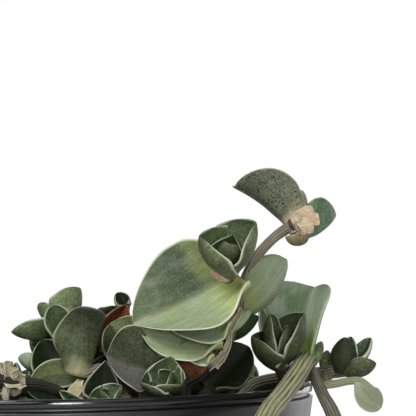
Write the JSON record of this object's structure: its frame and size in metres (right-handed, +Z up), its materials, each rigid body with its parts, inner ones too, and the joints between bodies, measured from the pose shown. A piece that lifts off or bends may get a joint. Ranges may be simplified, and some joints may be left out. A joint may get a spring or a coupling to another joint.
{
  "type": "potted chain plant",
  "caption": "Creeping succulent with boat-shaped leaves clasping its stems, plantlets on hanging stolons, in a round black nursery pot.",
  "frame": {"origin": "centre of the pot's base, on the surface the pot stands on", "axes": "+Z up through the pot's axis; the side shown in the picture faces -Y, with +X to its right"},
  "size_m": [0.1431, 0.1179, 0.1368],
  "materials": {
    "pot": "gloss",
    "potting_mix": "matte",
    "leaves": "satin",
    "old_growth": "satin"
  },
  "bodies": {
    "root": {"pot": "pot", "potting_mix": "potting_mix", "main_shoot": "leaves", "left_shoot": "leaves", "dark_shoot": "leaves", "front_rosette": "leaves", "right_shoot": "leaves", "trailing_shoot": "leaves", "old_stem": "old_growth", "back_shoot": "leaves", "front_left_shoot": "leaves", "left_edge_shoot": "leaves", "back_left_shoot": "leaves", "back_middle_shoot": "leaves", "back_right_shoot": "leaves", "centre_shoot": "leaves", "hanging_shoot": "leaves"}
  },
  "joints": []
}
